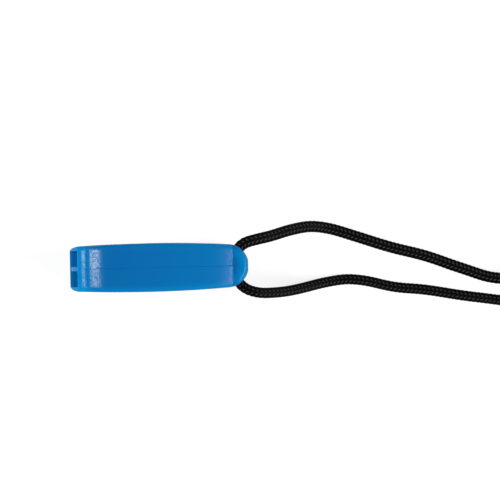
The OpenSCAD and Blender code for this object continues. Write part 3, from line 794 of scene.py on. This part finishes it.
def mouldedAbs(name, tintOf, reflection):
    # the grain bumps the surface, varies the roughness a little and breaks up the gloss, which is weaker
    # where more light is painted into the colour
    material, tree = newMaterial(name)
    place = addNode(tree, "ShaderNodeTexCoord")
    tint = tintOf(tree, place)
    grain = addNode(tree, "ShaderNodeTexNoise", {"Vector": place.outputs["Object"]},
                    Scale=1 / (blueAbs["grain"] * mm), Detail=1.0)
    edge = addNode(tree, "ShaderNodeBevel", samples=blueAbs["roundSamples"],
                   Radius=blueAbs["round"] * mm)
    bump = addNode(tree, "ShaderNodeBump", {"Height": grain.outputs["Fac"], "Normal": edge.outputs["Normal"]},
                   Strength=1.0, Distance=blueAbs["grainDepth"] * mm)
    uneven = addNode(tree, "ShaderNodeMapRange", {"Value": grain.outputs["Fac"]},
                     To_Min=blueAbs["roughness"] - blueAbs["uneven"],
                     To_Max=blueAbs["roughness"] + blueAbs["uneven"])
    gloss = addNode(tree, "ShaderNodeMapRange", {"Value": grain.outputs["Fac"]},
                    From_Min=blueAbs["glossFrom"], From_Max=blueAbs["glossTo"],
                    To_Min=reflection * (1 - blueAbs["glossSpread"]),
                    To_Max=reflection * (1 + blueAbs["glossSpread"]))
    share = addNode(tree, "ShaderNodeAttribute", attribute_name="paintedLight")
    kept = addNode(tree, "ShaderNodeMapRange", {"Value": share.outputs["Fac"]}, To_Min=1.0,
                   To_Max=1 - blueAbs["paintedLightDulling"])
    weaker = addNode(tree, "ShaderNodeMath", {0: gloss.outputs["Result"], 1: kept.outputs["Result"]},
                     operation="MULTIPLY")
    shader = addNode(tree, "ShaderNodeBsdfPrincipled",
                     {"Base Color": tint, "Roughness": uneven.outputs["Result"],
                      "Normal": bump.outputs["Normal"], "Specular IOR Level": weaker.outputs[0]},
                     IOR=blueAbs["ior"], Specular_IOR_Level=reflection)
    addNode(tree, "ShaderNodeOutputMaterial", {"Surface": shader.outputs["BSDF"]})
    return material


shellPlastic = mouldedAbs("mouldedAbsBlue", shellTintAndPaintedLight, blueAbs["reflection"])
corePlastic = mouldedAbs("mouldedAbsBlueCore", corePaintedLightTint, blueAbs["coreReflection"])

# Polyester yarn, spun-dyed black and braided round, a little glossy. Its colour carries painted shade and
# sheen by the braid's relief: nearly black in the valleys as painted shade, dark grey on top of each pick as
# the painted sheen of its lit filaments. Real filaments are far finer, so they are drawn 0.16 mm wide to show
# at all.
yarn = {
    "paintedValleyShade": "#020202", "pick": "#444140", "pickFrom": 0.4, "pickTo": 0.95, "ior": 1.5,
    "roughness": 0.55, "reflection": 0.06, "filament": 0.16, "filamentDepth": 0.02,
}


def braidedPolyester(name):
    # coloured by the attribute relief, with painted shade in the valleys and painted sheen on the picks, and
    # with a noise over the braid's own UV map for the filaments
    material, tree = newMaterial(name)
    relief = addNode(tree, "ShaderNodeAttribute", attribute_name="relief")
    height = addNode(tree, "ShaderNodeMapRange", {"Value": relief.outputs["Fac"]},
                     From_Min=yarn["pickFrom"], From_Max=yarn["pickTo"])
    colour = addNode(tree, "ShaderNodeMix", {"Factor": height.outputs["Result"]}, data_type="RGBA")
    colour.inputs[6].default_value = linear(yarn["paintedValleyShade"])
    colour.inputs[7].default_value = linear(yarn["pick"])
    place = addNode(tree, "ShaderNodeUVMap", uv_map="UVMap")
    filament = addNode(tree, "ShaderNodeTexNoise", {"Vector": place.outputs["UV"]},
                       Scale=1 / yarn["filament"], Detail=2.0)
    bump = addNode(tree, "ShaderNodeBump", {"Height": filament.outputs["Fac"]}, Strength=1.0,
                   Distance=yarn["filamentDepth"] * mm)
    shader = addNode(tree, "ShaderNodeBsdfPrincipled",
                     {"Base Color": colour.outputs[2], "Normal": bump.outputs["Normal"]},
                     Roughness=yarn["roughness"], IOR=yarn["ior"], Specular_IOR_Level=yarn["reflection"])
    addNode(tree, "ShaderNodeOutputMaterial", {"Surface": shader.outputs["BSDF"]})
    return material


cordBraid = braidedPolyester("braidedPolyesterBlack")

# Moulded rubber: dark grey and matt, with a dusty grain that is drawn coarser than it is.
rubber = {
    "dark": "#161617", "light": "#262627", "grain": 0.4, "grainDepth": 0.01, "roughness": 0.7, "ior": 1.52,
}


def mattRubber(name):
    # one noise mixes the two greys and bumps the surface
    material, tree = newMaterial(name)
    place = addNode(tree, "ShaderNodeTexCoord")
    grain = addNode(tree, "ShaderNodeTexNoise", {"Vector": place.outputs["Object"]},
                    Scale=1 / (rubber["grain"] * mm), Detail=4.0)
    colour = addNode(tree, "ShaderNodeMix", {"Factor": grain.outputs["Fac"]}, data_type="RGBA")
    colour.inputs[6].default_value = linear(rubber["dark"])
    colour.inputs[7].default_value = linear(rubber["light"])
    bump = addNode(tree, "ShaderNodeBump", {"Height": grain.outputs["Fac"]}, Strength=1.0,
                   Distance=rubber["grainDepth"] * mm)
    shader = addNode(tree, "ShaderNodeBsdfPrincipled",
                     {"Base Color": colour.outputs[2], "Normal": bump.outputs["Normal"]},
                     Roughness=rubber["roughness"], IOR=rubber["ior"])
    addNode(tree, "ShaderNodeOutputMaterial", {"Surface": shader.outputs["BSDF"]})
    return material


bandRubber = mattRubber("mattRubberBlack")

# What each piece is made of and stands for
for piece, material, nodes, slotName in (
    (upperShell, shellPlastic, ["upper_shell"], "shell_plastic"),
    (lowerShell, shellPlastic, ["lower_shell"], "shell_plastic"),
    (upperCord, cordBraid, ["upper_strand"], "braided_cord"),
    (lowerCord, cordBraid, ["lower_strand", "cord_hank", "return_strand"], "braided_cord"),
    (cordKnot, cordBraid, ["cord_knot"], "braided_cord"),
    (hankTie, bandRubber, ["hank_tie"], "elastic"),
):
    piece.data.materials.clear()
    piece.data.materials.append(material)
    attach(piece, "root")
    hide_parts(*nodes)
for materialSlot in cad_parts["centre_core"].material_slots:
    materialSlot.material = corePlastic
print("materials made")


def lengthOf(line):
    # the whole way along a line
    return float(distanceAlong(line)[-1])


print("cord lengths", lengthOf(lowerLine), lengthOf(upperLine), knotAlong[-1])

# Studio: a pale floor, a soft box on each side and a dim even world. The floor glows for the camera
# and a little in reflections, and both see the world white at the horizon and dark overhead.
studio = {
    "floorHalf": 3.0, "floorColour": "#969696", "floorGlow": 0.8, "floorInReflections": 0.3,
    "left": {"polar": 48, "azimuth": 172, "distance": 0.8, "size": (0.46, 0.26), "watts": 4.4},
    "right": {"polar": 50, "azimuth": -14, "distance": 0.8, "size": (0.36, 0.50), "watts": 5.8},
    "worldDim": 0.14, "horizon": 0.06, "ceilingFrom": 0.3, "ceiling": 0.015,
}

half = studio["floorHalf"]
floorCorners = np.array([(-half, -half, 0), (half, -half, 0), (half, half, 0), (-half, half, 0)])
floor = addPiece("floor", floorCorners, [[0, 1, 2, 3]])
floorMaterial, tree = newMaterial("paintedWhiteTable")
path = addNode(tree, "ShaderNodeLightPath")
mirrored = addNode(tree, "ShaderNodeMath",
                   {0: path.outputs["Is Glossy Ray"], 1: path.outputs["Is Transmission Ray"]},
                   operation="MAXIMUM")
inMirrors = addNode(tree, "ShaderNodeMath", {0: mirrored.outputs[0]}, operation="MULTIPLY")
inMirrors.inputs[1].default_value = studio["floorInReflections"]
strength = addNode(tree, "ShaderNodeMath", {0: path.outputs["Is Camera Ray"], 2: inMirrors.outputs[0]},
                   operation="MULTIPLY_ADD")
strength.inputs[1].default_value = studio["floorGlow"]
paint = addNode(tree, "ShaderNodeBsdfDiffuse", Color=linear(studio["floorColour"]))
glow = addNode(tree, "ShaderNodeEmission", {"Strength": strength.outputs[0]}, Color=(1, 1, 1, 1))
both = addNode(tree, "ShaderNodeAddShader", {0: paint.outputs[0], 1: glow.outputs[0]})
addNode(tree, "ShaderNodeOutputMaterial", {"Surface": both.outputs[0]})
floor.data.materials.append(floorMaterial)

world = bpy.data.worlds.new("studioWorld")
bpy.context.scene.world = world
world.use_nodes = True
tree = world.node_tree
tree.nodes.clear()
direction = addNode(tree, "ShaderNodeTexCoord")
parts = addNode(tree, "ShaderNodeSeparateXYZ", {"Vector": direction.outputs["Generated"]})
backdrop = addNode(tree, "ShaderNodeMapRange", {"Value": parts.outputs["Z"]},
                   From_Min=studio["horizon"], From_Max=studio["ceilingFrom"], To_Min=1.0,
                   To_Max=studio["ceiling"], interpolation_type="SMOOTHSTEP")
path = addNode(tree, "ShaderNodeLightPath")
seen = addNode(tree, "ShaderNodeMath",
               {0: path.outputs["Is Camera Ray"], 1: path.outputs["Is Glossy Ray"]}, operation="ADD")
seenAll = addNode(tree, "ShaderNodeMath", {0: seen.outputs[0], 1: path.outputs["Is Transmission Ray"]},
                  operation="ADD", use_clamp=True)
level = addNode(tree, "ShaderNodeMix", {"Factor": seenAll.outputs[0], 3: backdrop.outputs["Result"]},
                data_type="FLOAT", clamp_factor=True)
level.inputs[2].default_value = studio["worldDim"]   # inputs 2 and 3 are the node's two numbers
sky = addNode(tree, "ShaderNodeBackground", {"Strength": level.outputs[0]}, Color=(1, 1, 1, 1))
addNode(tree, "ShaderNodeOutputWorld", {"Surface": sky.outputs[0]})

for name in ("left", "right"):
    box = studio[name]
    lamp = bpy.data.lights.new(name + "SoftBox", "AREA")
    lamp.shape = "RECTANGLE"
    lamp.size, lamp.size_y = box["size"]
    lamp.energy = box["watts"]
    polar = math.radians(box["polar"])
    azimuth = math.radians(box["azimuth"])
    lampObject = bpy.data.objects.new(name + "SoftBox", lamp)
    lampObject.location = (
        box["distance"] * math.sin(polar) * math.cos(azimuth),
        box["distance"] * math.sin(polar) * math.sin(azimuth),
        box["distance"] * math.cos(polar))
    lampObject.rotation_euler = (0, polar, azimuth)
    bpy.context.scene.collection.objects.link(lampObject)
print("studio made")
